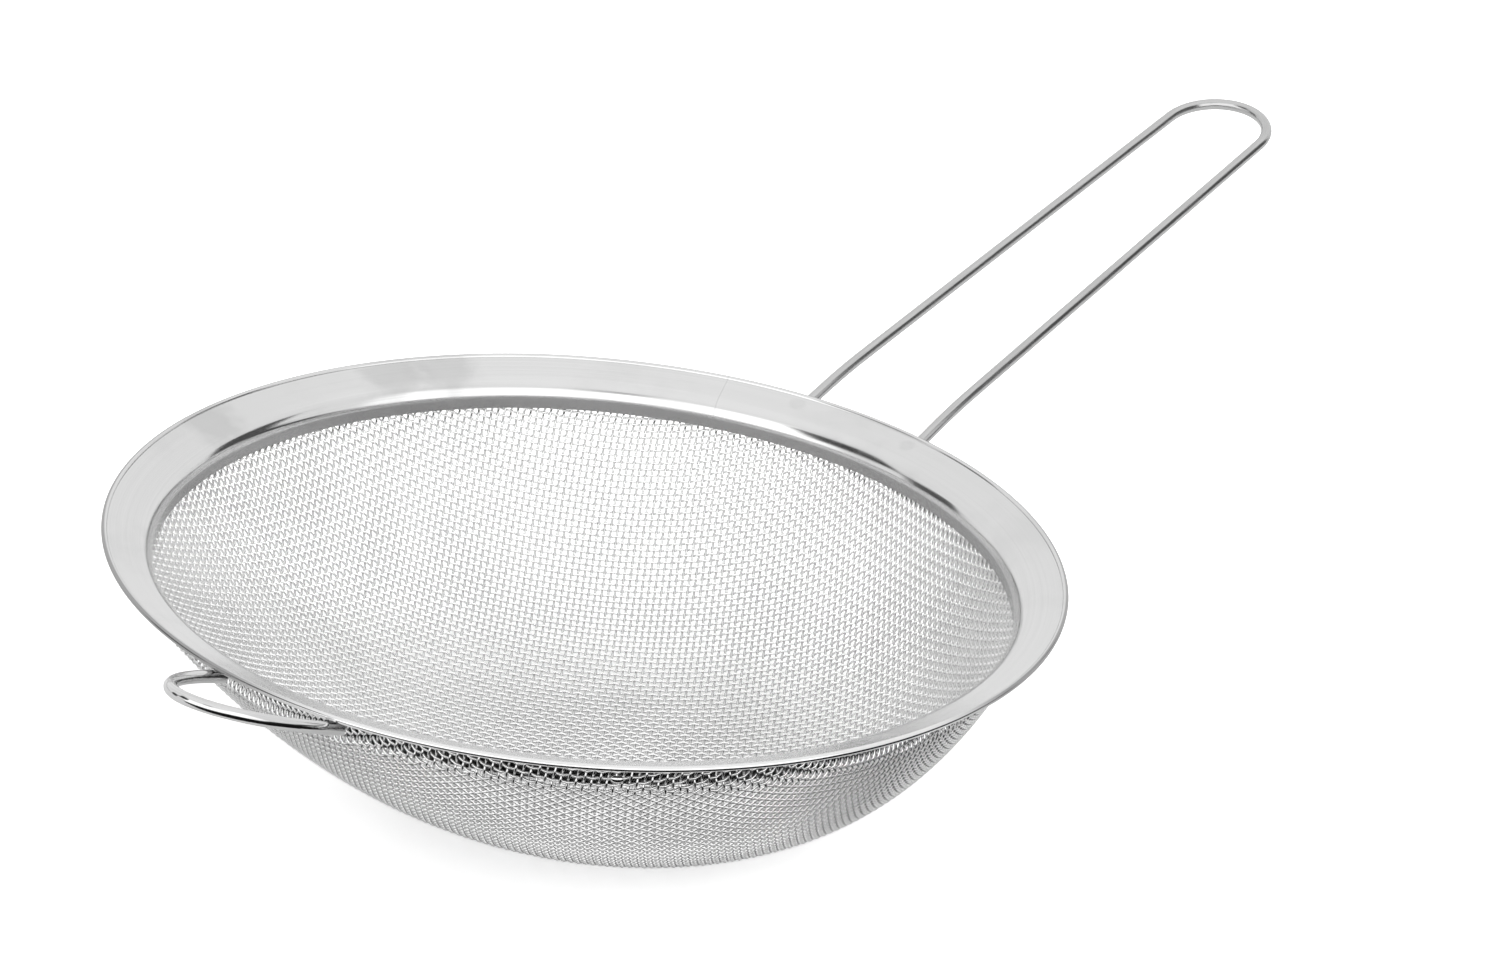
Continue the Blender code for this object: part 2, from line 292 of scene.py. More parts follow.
def seam_group() -> bpy.types.NodeTree:
    """Build the group for the fine seam where the strip's two ends meet.

    Returns:
        The group: Vector, the seam's Outward and Sideways directions and its Width in,
        and Seam out, from 0 to 1.
    """
    graph = Effect("strip_seam", ("Vector", "Outward", "Sideways"), ("Width",), ("Seam",))
    vector = graph.given["Vector"]
    outward = graph.measure("DOT_PRODUCT", vector, graph.given["Outward"])
    sideways = graph.measure("DOT_PRODUCT", vector, graph.given["Sideways"])
    gap = graph.math("DIVIDE", graph.math("ABSOLUTE", sideways), graph.given["Width"])
    gap = graph.math("ADD", gap, graph.math("MULTIPLY", graph.noise(vector, 700.0), 0.7))
    line = graph.math("MULTIPLY", graph.span(gap, 0.4, 1.3, 1.0, 0.0),
                      graph.span(outward, 0.0, 0.01))
    graph.join(line, graph.result["Seam"])
    return graph.tree


def sky_patch_group() -> bpy.types.NodeTree:
    """Build the group that masks one patch of the studio round the object.

    Returns:
        The group: the direction's Bearing and Elevation and the patch's Left, Right,
        Bottom, Top and Soft edge in, all in degrees, the Rise of the patch for each
        degree of bearing, and Mask out.
    """
    graph = Effect("sky_patch", (), ("Bearing", "Elevation", "Left", "Right", "Bottom", "Top",
                                     "Soft", "Rise"), ("Mask",))
    given = graph.given
    beyond = graph.math("SUBTRACT", given["Bearing"], given["Left"])
    lift = graph.math("MULTIPLY", beyond, given["Rise"])
    level = graph.math("SUBTRACT", given["Elevation"], lift)
    sides = []
    for value, low, high in ((given["Bearing"], "Left", "Right"), (level, "Bottom", "Top")):
        for edge in (graph.math("SUBTRACT", value, given[low]),
                     graph.math("SUBTRACT", given[high], value)):
            sides.append(graph.span(graph.math("DIVIDE", edge, given["Soft"]), -0.5, 0.5))
    mask = sides[0]
    for side in sides[1:]:
        mask = graph.math("MULTIPLY", mask, side)
    graph.join(mask, graph.result["Mask"])
    return graph.tree


@dataclass
class EffectGroups:
    """The node groups that the materials and the world share, each built once."""

    spun_lines: bpy.types.NodeTree
    drawn_lines: bpy.types.NodeTree
    handling: bpy.types.NodeTree
    weld_mark: bpy.types.NodeTree
    seam: bpy.types.NodeTree
    rubbed: bpy.types.NodeTree
    sky_patch: bpy.types.NodeTree

    @classmethod
    def build(cls) -> "EffectGroups":
        """Build every group."""
        return cls(spun_lines_group(), drawn_lines_group(), handling_group(),
                   weld_mark_group(), seam_group(), rubbed_group(), sky_patch_group())


class Steel(Graph):
    """The graph of one steel material, with what all the steel finishes share."""

    def __init__(self, name: str, groups: EffectGroups) -> None:
        """Start the material.

        Args:
            name: The material's name.
            groups: The shared node groups.
        """
        self.material = bpy.data.materials.new(name)
        self.material.use_nodes = True
        super().__init__(self.material.node_tree)
        self.place = self.add("ShaderNodeTexCoord").outputs["Object"]
        self.marks = self.use(groups.handling, {"Vector": self.place})

    def finish(self, tone: Socket, roughness: Socket, height: Socket | None = None,
               depth: float = 0.0) -> bpy.types.Material:
        """Join the finish to the material's shader.

        Args:
            tone: The metal's colour.
            roughness: Its roughness.
            height: The height of its relief, if it has one.
            depth: What one unit of that height measures.

        Returns:
            The material.
        """
        shader = self.tree.nodes["Principled BSDF"].inputs
        self.join(tone, shader["Base Color"])
        self.join(roughness, shader["Roughness"])
        if height is not None:
            feeds = {"Height": height, "Distance": depth, "Strength": 1.0}
            self.join(self.add("ShaderNodeBump", feeds).outputs[0], shader["Normal"])
        shader["Metallic"].default_value = 1.0
        return self.material


@dataclass(frozen=True)
class SteelFinish:
    """What every steel finish has: a name, two tones and a range of roughness."""

    name: str
    bright: Colour
    dim: Colour
    low_roughness: float
    high_roughness: float

    def tone(self, graph: Steel, lines: Socket, line_share: float, smudge_share: float) -> Socket:
        """Dim the bright tone in the lines and under the smudges.

        Args:
            graph: The material's graph.
            lines: The lines, from 0 to 1.
            line_share: How much of the dim tone the lines take.
            smudge_share: How much of it the smudges take.

        Returns:
            The metal's tone.
        """
        lined = graph.blend(lines, self.bright, self.dim, line_share)
        return graph.blend(graph.marks["Smudge"], lined, self.dim, smudge_share)

    def roughness(self, graph: Steel, lines: Socket, line_share: float, smudge_share: float,
                  full: float = 1.0) -> Socket:
        """Spread the roughness by the lines and the smudges.

        Args:
            graph: The material's graph.
            lines: The lines, from 0 to 1.
            line_share: Weight of the lines.
            smudge_share: Weight of the smudges.
            full: Weighted sum at which the roughness is highest.

        Returns:
            The metal's roughness.
        """
        worn = graph.weigh((lines, line_share), (graph.marks["Smudge"], smudge_share))
        return graph.span(worn, 0.0, full, self.low_roughness, self.high_roughness)


@dataclass(frozen=True)
class SheetFinish(SteelFinish):
    """Polished pressed sheet with spun lines, handling marks and weld marks, and with painted
    shade and a painted highlight on the bead and the collar.

    Each fade is the width over which a tone goes over into the next. The weld depth is
    in line heights.
    """

    stain: Colour = grey(0.50)
    # Painted highlight: lighter tone of the bead on the side that faces the given way.
    polished: Colour = grey(0.80)
    # Painted shade: darker tone of the bead's outer edge, a painted dark reflection.
    edge_worn: Colour = grey(0.36)
    rubbed: Colour = grey(0.52)
    # Painted shade: darker tone of the collar's lower part, on both faces.
    dull: Colour = grey(0.40)
    # Painted shade: near-black tone of the collar's outer face and the fillet's lower outside.
    tinted: Colour = grey(0.14)
    line_density: float = 4200.0
    line_height: float = 0.000004
    weld_size: float = 0.0026
    weld_depth: float = 4.0
    seam_bearing: float = math.radians(19.5)
    seam_width: float = 0.0003
    rub_size: float = 0.011
    bead_start: float = 0.1083
    bead_edge: float = 0.1091
    bead_fade: float = 0.0004
    # The way that the bead's painted highlight faces, and the span of facing over which it comes
    # in.
    polished_way: Point = (-0.72, -0.69, 0.0)
    polished_from: float = 0.068
    polished_full: float = 0.090
    collar_height: float = -0.0062
    collar_fade: float = 0.0006
    # Height below which the outside takes its painted shade, and the width of its fade.
    tint_height: float = -0.0034
    tint_fade: float = 0.0008
    fillet_fade: float = 0.0001
    fillet_radius: float = 0.0048
    fillet_centre: tuple[float, float] = (0.10335, -0.00698)

    def edge_tone(self, graph: Steel, centred: Socket, tone: Socket) -> Socket:
        """Paint shade and a highlight on the bead, and shade on both faces of the collar.

        Args:
            graph: The material's graph.
            centred: The place on the rim, from its centre.
            tone: The flange's tone.

        Returns:
            The tone of the whole rim.
        """
        parts = graph.split(centred)
        reach = graph.length(parts[0], parts[1])
        # Painted shade on the bead's outer edge, and a painted highlight on the part of the bead
        # that faces the given way.
        outer = graph.span(reach, self.bead_edge, self.bead_edge + self.bead_fade)
        facing = graph.measure("DOT_PRODUCT", centred, self.polished_way)
        bead = graph.blend(graph.span(facing, self.polished_from, self.polished_full),
                           graph.blend(outer, tone, self.edge_worn), self.polished)
        edge = graph.span(reach, self.bead_start, self.bead_start + self.bead_fade)
        tone = graph.blend(edge, tone, bead)
        # Painted shade: the lower part of the collar, on both faces, goes most of the way to the
        # darker tone.
        collar = graph.span(parts[2], self.collar_height - self.collar_fade, self.collar_height,
                            1.0, 0.0)
        tone = graph.blend(collar, tone, self.dull, 0.8)
        # Painted shade: the outer face of the collar and the outside of the fillet below the given
        # height take the near-black tone.
        inward = graph.math("SUBTRACT", self.fillet_centre[0], reach)
        above = graph.math("MAXIMUM", graph.math("SUBTRACT", parts[2], self.fillet_centre[1]), 0.0)
        outside = graph.span(graph.length(inward, above), self.fillet_radius - self.fillet_fade,
                             self.fillet_radius + self.fillet_fade, 1.0, 0.0)
        low = graph.span(parts[2], self.tint_height - self.tint_fade, self.tint_height, 1.0, 0.0)
        return graph.blend(graph.math("MULTIPLY", outside, low), tone, self.tinted)

    def build(self, groups: EffectGroups, axis: Vector, welds: list[Vector],
              rubs: list[Vector]) -> bpy.types.Material:
        """Build the material.

        Args:
            groups: The shared node groups.
            axis: A point of the axis that the lines run round.
            welds: The places of the weld marks.
            rubs: The places of the patches that are rubbed dull.

        Returns:
            The material.
        """
        graph = Steel(self.name, groups)
        centred = graph.mapped(graph.place, shift=tuple(-axis))
        lines = graph.use(groups.spun_lines,
                          {"Vector": centred, "Density": self.line_density})["Lines"]
        tone = self.tone(graph, lines, line_share=0.35, smudge_share=0.45)
        tone = self.edge_tone(graph, centred, tone)
        for spot in rubs:
            rub = graph.use(groups.rubbed, {"Vector": graph.place, "Spot": tuple(spot),
                                            "Size": self.rub_size})["Rub"]
            tone = graph.blend(rub, tone, self.rubbed, 0.55)
        cosine, sine = math.cos(self.seam_bearing), math.sin(self.seam_bearing)
        seam = graph.use(groups.seam, {"Vector": centred, "Outward": (cosine, sine, 0.0),
                                       "Sideways": (-sine, cosine, 0.0),
                                       "Width": self.seam_width})["Seam"]
        tone = graph.blend(seam, tone, self.stain, 0.35)
        relief = [(lines, 0.5), (graph.marks["Scratch"], -0.6)]
        for spot in welds:
            weld = graph.use(groups.weld_mark, {"Vector": graph.place, "Spot": tuple(spot),
                                                "Size": self.weld_size})
            tone = graph.blend(weld["Stain"], tone, self.stain, 0.2)
            relief.append((weld["Dimple"], -self.weld_depth))
        rough = self.roughness(graph, lines, line_share=0.35, smudge_share=0.5, full=0.85)
        return graph.finish(tone, rough, graph.weigh(*relief), self.line_height)


@dataclass(frozen=True)
class WireFinish(SteelFinish):
    """Bright drawn wire with die lines along it."""

    line_height: float
    line_density: float = 5200.0

    def build(self, groups: EffectGroups) -> bpy.types.Material:
        """Build the material.

        Args:
            groups: The shared node groups.

        Returns:
            The material.
        """
        graph = Steel(self.name, groups)
        grain = graph.add("ShaderNodeAttribute", attribute_name="wire_grain").outputs["Vector"]
        lines = graph.use(groups.drawn_lines,
                          {"Grain": grain, "Density": self.line_density})["Lines"]
        tone = self.tone(graph, lines, line_share=0.5, smudge_share=0.4)
        rough = self.roughness(graph, lines, line_share=0.4, smudge_share=0.6)
        return graph.finish(tone, rough, lines, self.line_height)


@dataclass(frozen=True)
class ClothFinish(SteelFinish):
    """Fine woven wire, duller where handled, with painted shade in the outside's crevices."""

    # Near-black tone of the painted shade in the crevices on the outside.
    shaded: Colour = grey(0.06)

    def build(self, groups: EffectGroups) -> bpy.types.Material:
        """Build the material.

        Args:
            groups: The shared node groups.

        Returns:
            The material.
        """
        graph = Steel(self.name, groups)
        speckle = graph.noise(graph.place, 1400.0, 1.0)
        patches = graph.noise(graph.place, 35.0, 3.0)
        wear = graph.span(graph.weigh((speckle, 0.5), (patches, 0.5)), 0.36, 0.66)
        # Painted shade: the outer sides of the wires, where they dive under a neighbour, take the
        # near-black tone.
        crevice_shade_mask = graph.add("ShaderNodeAttribute", attribute_name="crevice").outputs["Fac"]
        tone = graph.blend(graph.span(crevice_shade_mask, 0.30, 0.80),
                           graph.blend(wear, self.bright, self.dim), self.shaded)
        return graph.finish(tone, self.roughness(graph, wear, line_share=0.7, smudge_share=0.3))


SHEET_FINISH = SheetFinish("sheet_steel", grey(0.72), grey(0.63), 0.10, 0.24)
# The handle's darker tones and the hook's lighter ones are painted shade and painted light: both
# are the same drawn steel wire, toned apart for how the light falls on each.
HANDLE_FINISH = WireFinish("drawn_wire_steel", grey(0.57), grey(0.46), 0.20, 0.34, 0.000004)
HOOK_FINISH = WireFinish("bright_wire_steel", grey(0.72), grey(0.55), 0.08, 0.17, 0.000003)
# The warp's darker tones and the weft's lighter ones are painted shade and painted light: both are
# the same steel wire, toned apart for how the light falls on each direction.
WARP_FINISH = ClothFinish("warp_steel", grey(0.76), grey(0.68), 0.12, 0.26)
WEFT_FINISH = ClothFinish("weft_steel", grey(0.97), grey(0.90), 0.12, 0.26)


def link_object(name: str, data: bpy.types.ID) -> bpy.types.Object:
    """Link a mesh, curve or camera to the scene as an object at the origin and return it."""
    made = bpy.data.objects.new(name, data)
    bpy.context.scene.collection.objects.link(made)
    return made


def link_shape(name: str, shape: bmesh.types.BMesh) -> bpy.types.Object:
    """Turn a finished bmesh into a smooth-shaded object at the origin and return it."""
    mesh = bpy.data.meshes.new(name)
    shape.to_mesh(mesh)
    shape.free()
    mesh.shade_smooth()
    return link_object(name, mesh)


def finish_piece(piece: bpy.types.Object, material: bpy.types.Material,
                 node: str | None) -> None:
    """Dress one piece, seat it on the strainer's body and report it.

    Args:
        piece: The finished object, at the origin.
        material: Its material.
        node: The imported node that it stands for, or None.
    """
    piece.data.materials.append(material)
    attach(piece, "root")
    if node is not None:
        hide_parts(node)
    LOG.info("%s: %d faces", piece.name, len(piece.data.polygons))


def on_circle(centre: Vector, radius: float, bearing: float, height: float) -> Vector:
    """Return a point at a bearing in degrees, a radius and a height from a centre."""
    angle = math.radians(bearing)
    return centre + Vector((radius * math.cos(angle), radius * math.sin(angle), height))


@dataclass
class PressedRim:
    """The rim: rolled bead, sloped flange, fillet and upright collar of one sheet.

    Bearings are in degrees. Each of the waves that the edge has after pressing is given
    by its count round the rim, its size as a share of the waviness, and its phase.
    """

    centre: Vector
    outer_radius: float = 0.1100
    bead_radius: float = 0.0007
    sheet: float = 0.0005
    slope: float = math.radians(18.0)
    fillet_radius: float = 0.0048
    flange_width: float = 0.0117
    collar_depth: float = 0.0092
    steps: int = 360
    fillet_steps: int = 20
    bead_steps: int = 20
    flange_steps: int = 6
    waviness: float = 0.00002
    waves: tuple[Point, ...] = ((3.0, 1.0, 0.6), (7.0, 0.7, 2.0), (13.0, 0.5, 4.4))
    rubbed_share: float = 0.4
    rubbed_height: float = -0.0015
    rubbed_bearings: tuple[float, ...] = (58.0, 65.0, 96.0)
    weld_bearings: tuple[float, ...] = (222.0, 272.0, 322.0, 12.0, 62.0, 112.0, 168.0)
    weld_drop: float = 0.0074
    weld_gap: float = 0.00095

    @property
    def collar_radius(self) -> float:
        """Radius of the middle of the collar's sheet."""
        return self.outer_radius - self.flange_width + self.sheet / 2

    @property
    def bead_centre_radius(self) -> float:
        """Radius of the bead's middle line."""
        return self.outer_radius - self.bead_radius

    def rubbed_places(self) -> list[Vector]:
        """Return where hands have rubbed the flange dull."""
        middle = self.outer_radius - self.flange_width * self.rubbed_share
        return [on_circle(self.centre, middle, bearing, self.rubbed_height)
                for bearing in self.rubbed_bearings]

    def cloth_welds(self) -> list[Matrix]:
        """Return the places and turns of the welds that hold the cloth to the collar."""
        radius = self.collar_radius + self.sheet / 2 + self.weld_gap
        return [Matrix.Translation(on_circle(self.centre, radius, bearing, -self.weld_drop))
                @ Matrix.Rotation(math.radians(bearing), 4, "Z") for bearing in self.weld_bearings]

    def flange_point(self, radius: float) -> tuple[float, float]:
        """Return the radius and height, from the bead, of a point of the flange's middle."""
        return radius, -(self.bead_centre_radius - radius) * math.tan(self.slope)

    def face(self, offset: float) -> Section:
        """Return one face of the sheet from the bead to the collar's lower edge.

        Args:
            offset: Distance of the face from the sheet's middle, upwards and inwards.

        Returns:
            Radius and height pairs, from the flange down.
        """
        fillet = self.fillet_radius
        end_radius, end_height = self.flange_point(
            self.collar_radius + fillet * (1.0 - math.sin(self.slope)))
        start_radius = self.bead_centre_radius - self.bead_radius
        points = []
        for step in range(1, self.flange_steps):
            share = step / self.flange_steps
            radius, height = self.flange_point(start_radius + (end_radius - start_radius) * share)
            points.append((radius - offset * math.sin(self.slope),
                           height + offset * math.cos(self.slope)))
        for step in range(self.fillet_steps + 1):
            share = step / self.fillet_steps
            angle = math.pi / 2 + self.slope + share * (math.pi / 2 - self.slope)
            points.append((self.collar_radius + fillet + (fillet + offset) * math.cos(angle),
                           end_height - fillet * math.cos(self.slope)
                           + (fillet + offset) * math.sin(angle)))
        points.append((self.collar_radius - offset, -self.collar_depth))
        return points

    def section(self) -> Section:
        """Return the closed section of the rim, as radius and height from the bead."""
        half = self.sheet / 2
        opening = math.asin(half / self.bead_radius)
        first = math.pi + self.slope + opening
        sweep = 2.0 * (math.pi - opening)
        bead = []
        for step in range(self.bead_steps + 1):
            angle = first + sweep * step / self.bead_steps
            bead.append((self.bead_centre_radius + self.bead_radius * math.cos(angle),
                         self.bead_radius * math.sin(angle)))
        return bead + self.face(half) + self.face(-half)[::-1]

    def build(self, material: bpy.types.Material) -> None:
        """Spin the section round the rim's axis.

        Args:
            material: The sheet's material.
        """
        shape = bmesh.new()
        corners = [shape.verts.new((radius, 0.0, height)) for radius, height in self.section()]
        sides = []
        for index, corner in enumerate(corners):
            sides.append(shape.edges.new((corner, corners[(index + 1) % len(corners)])))
        bmesh.ops.spin(shape, geom=corners + sides, cent=(0, 0, 0), axis=(0, 0, 1),
                       angle=math.tau, steps=self.steps, use_merge=True, use_duplicate=False)
        bmesh.ops.remove_doubles(shape, verts=shape.verts, dist=1e-7)
        bmesh.ops.recalc_face_normals(shape, faces=shape.faces)
        for corner in shape.verts:
            bearing = math.atan2(corner.co.y, corner.co.x)
            corner.co.z += self.waviness * sum(size * math.sin(count * bearing + phase)
                                               for count, size, phase in self.waves)
        bmesh.ops.translate(shape, verts=shape.verts, vec=self.centre)
        rim = link_shape("rim_pressed", shape)
        rim.data.set_sharp_from_angle(angle=math.radians(50))
        finish_piece(rim, material, "rim")


def bent_tube(name: str, runs: list[Array], radius: float, smoothness: int) -> bpy.types.Object:
    """Sweep a round wire along each run of points and link the wires as one object.

    Args:
        name: The object's name.
        runs: Points of each wire, as rows of X, Y and Z.
        radius: The wires' radius.
        smoothness: Bevel resolution of the sweep.

    Returns:
        The smooth-shaded wires. Their corners are first the caps', then each run's, ring
        by ring.
    """
    path = bpy.data.curves.new(name, "CURVE")
    path.dimensions = "3D"
    path.bevel_depth = radius
    path.bevel_resolution = smoothness
    path.use_fill_caps = True
    for run in runs:
        line = path.splines.new("POLY")
        line.points.add(len(run) - 1)
        line.points.foreach_set("co", np.column_stack([run, np.ones(len(run))]).ravel())
        line.use_smooth = True
    swept = link_object(name, path)
    bpy.context.view_layer.update()
    graph = bpy.context.evaluated_depsgraph_get()
    mesh = bpy.data.meshes.new_from_object(swept.evaluated_get(graph))
    bpy.data.objects.remove(swept, do_unlink=True)
    bpy.data.curves.remove(path)
    mesh.name = name
    mesh.shade_smooth()
    return link_object(name, mesh)


def mark_grain(mesh: bpy.types.Mesh, run: Array, radius: float) -> None:
    """Store where each corner lies round and along its wire, in the attribute wire_grain.

    Args:
        mesh: The swept mesh of one wire, whose corners lie ring by ring after its caps'.
        run: Points of the wire.
        radius: The wire's radius.
    """
    sides = len(mesh.vertices) // (len(run) + 2)
    steps = np.linalg.norm(np.diff(run, axis=0), axis=1)
    along = np.repeat(np.concatenate([[0.0], np.cumsum(steps)]), sides)
    angle = np.tile(np.arange(sides) * math.tau / sides, len(run))
    grain = np.zeros((len(mesh.vertices), 3), np.float32)
    grain[-len(along):] = np.column_stack([radius * np.cos(angle), radius * np.sin(angle), along])
    stored = mesh.attributes.new("wire_grain", "FLOAT_VECTOR", "POINT")
    stored.data.foreach_set("vector", grain.ravel())


@dataclass
class BentWire(ABC):
    """What the handle and the rest hook share: one round wire under the rim's flange.

    Side is 1 for a wire that runs out along +X and -1 for one along -X. Divergence is how
    much steeper the wire's root is than the flange.
    """

    rim: PressedRim
    cloth_radius: float
    name: str
    node: str
    side: float
    root_spread: float
    divergence: float
    wire_radius: float = 0.00145
    seat_gap: float = 0.0003
    cloth_half_thickness: float = 0.00064
    smoothness: int = 10
    weld_share: float = 0.42

    @property
    def root_half(self) -> float:
        """Distance of each of the wire's two roots from the strainer's middle plane."""
        return self.root_spread / 2

    @property
    def root_slope(self) -> float:
        """Slope of the wire under the flange."""
        return self.rim.slope + self.divergence

    def end_reach(self) -> float:
        """Return how far out from the rim's axis the wire starts, clear of the cloth."""
        clear = self.cloth_radius + self.cloth_half_thickness + self.seat_gap
        inner_side = self.root_half - self.wire_radius
        start = math.sqrt(clear ** 2 - inner_side ** 2)
        return start + self.wire_radius * math.sin(self.root_slope)

    def height(self, reach: float) -> float:
        """Return the wire's height at a reach, where it runs out just under the bead."""
        slope = self.root_slope
        under = self.rim.bead_radius + self.seat_gap + self.wire_radius / math.cos(slope)
        crossing = math.sqrt(self.rim.bead_centre_radius ** 2 - self.root_half ** 2)
        return (reach - crossing) * math.tan(slope) - under

    @abstractmethod
    def route(self) -> list[Point]:
        """Return the wire's route, from the rim's centre."""

    def weld_places(self) -> list[Vector]:
        """Return where the wire's two roots are welded under the flange."""
        reach = self.rim.outer_radius - self.rim.flange_width * self.weld_share
        height = self.height(reach) + self.wire_radius
        return [self.rim.centre + Vector((self.side * reach, half, height))
                for half in (self.root_half, -self.root_half)]

    def build(self, material: bpy.types.Material) -> None:
        """Bend the wire along its route and dress it.

        Args:
            material: The wire's material.
        """
        run = np.array(self.route()) + np.array(self.rim.centre)
        wire = bent_tube(self.name, [run], self.wire_radius, self.smoothness)
        mark_grain(wire.data, run, self.wire_radius)
        wire.data.set_sharp_from_angle(angle=math.radians(60))
        finish_piece(wire, material, self.node)


@dataclass
class Handle(BentWire):
    """The long handle: out one side, round the end loop and back."""

    name: str = "handle_wire"
    node: str = "handle"
    side: float = 1.0
    root_spread: float = 0.0333
    divergence: float = math.radians(1.0)
    length: float = 0.1711
    end_spread: float = 0.0277
    rise: float = math.radians(13.7)
    bend_distance: float = 0.0139
    bend_half_length: float = 0.0080
    root_steps: int = 11
    bend_steps: int = 24
    straight_steps: int = 40
    loop_steps: int = 72

    def height(self, reach: float) -> float:
        """Return the handle's height at a reach: steep under the flange, then flatter."""
        bend = self.rim.outer_radius + self.bend_distance
        before = bend - self.bend_half_length
        change = math.tan(self.rise) - math.tan(self.root_slope)
        height = super().height(reach)
        if reach > bend + self.bend_half_length:
            return height + change * (reach - bend)
        if reach > before:
            return height + change * (reach - before) ** 2 / (4 * self.bend_half_length)
        return height

    def route(self) -> list[Point]:
        """Return the handle's route, from the rim's centre."""
        rim_edge = self.rim.outer_radius
        end_half = self.end_spread / 2
        loop_centre = rim_edge + self.length - self.wire_radius - end_half
        bend = rim_edge + self.bend_distance
        stops = (self.end_reach(), bend - self.bend_half_length, bend + self.bend_half_length,
                 loop_centre)
        reaches = [stops[0]]
        counts = (self.root_steps, self.bend_steps, self.straight_steps)
        for low, high, count in zip(stops, stops[1:], counts):
            reaches += list(np.linspace(low, high, count + 1))[1:]
        arm = []
        for reach in reaches:
            share = (reach - rim_edge) / (loop_centre - rim_edge)
            half = self.root_half + (end_half - self.root_half) * share
            arm.append((reach, half, self.height(reach)))
        loop = []
        for step in range(1, self.loop_steps):
            angle = math.pi / 2 - math.pi * step / self.loop_steps
            reach = loop_centre + end_half * math.cos(angle)
            loop.append((reach, end_half * math.sin(angle), self.height(reach)))
        return arm + loop + [(x, -y, z) for x, y, z in reversed(arm)]


@dataclass
class RestHook(BentWire):
    """The short hook opposite the handle, which rests on the edge of a bowl or pan."""

    name: str = "rest_hook_wire"
    node: str = "rest_hook"
    side: float = -1.0
    root_spread: float = 0.0329
    divergence: float = math.radians(2.6)
    length: float = 0.0265
    nose_length: float = 0.0302
    steps: int = 120

    def route(self) -> list[Point]:
        """Return the hook's route, from the rim's centre."""
        nose_start = self.rim.outer_radius + self.length - self.wire_radius - self.nose_length
        first = math.acos(max(0.0, self.end_reach() - nose_start) / self.nose_length)
        points = []
        for step in range(self.steps + 1):
            angle = first - 2.0 * first * step / self.steps
            reach = nose_start + self.nose_length * math.cos(angle)
            points.append((-reach, self.root_half * math.sin(angle), self.height(reach)))
        return points


@dataclass
class WovenWire:
    """One wire of the cloth: its middle line, the wall's way out there, and where it dives."""

    points: Array
    outward: Array
    dives: Array


def mark_crevices(mesh: bpy.types.Mesh, wires: list[WovenWire], radius: float) -> None:
    """Store in the attribute crevice where a wire's outer side dives under its neighbour, for the
    painted shade that the cloth's material puts there.

    Args:
        mesh: The swept mesh of all the wires.
        wires: The wires, in the order of the sweep.
        radius: Their radius.
    """
    middles = np.concatenate([wire.points for wire in wires])
    outward = np.concatenate([wire.outward for wire in wires])
    dives = np.concatenate([wire.dives for wire in wires])
    places = np.empty(len(mesh.vertices) * 3)
    mesh.vertices.foreach_get("co", places)
    sides = len(mesh.vertices) // (len(middles) + 2 * len(wires))
    corners = places.reshape(-1, 3)[-len(middles) * sides:].reshape(-1, sides, 3)
    outside = np.einsum("rsk,rk->rs", corners - middles[:, None, :], outward) / radius
    crevice = np.zeros(len(mesh.vertices))
    crevice[-outside.size:] = (dives[:, None] * np.clip(outside, 0.0, 1.0)).ravel()
    mesh.attributes.new("crevice", "FLOAT", "POINT").data.foreach_set("value", crevice)


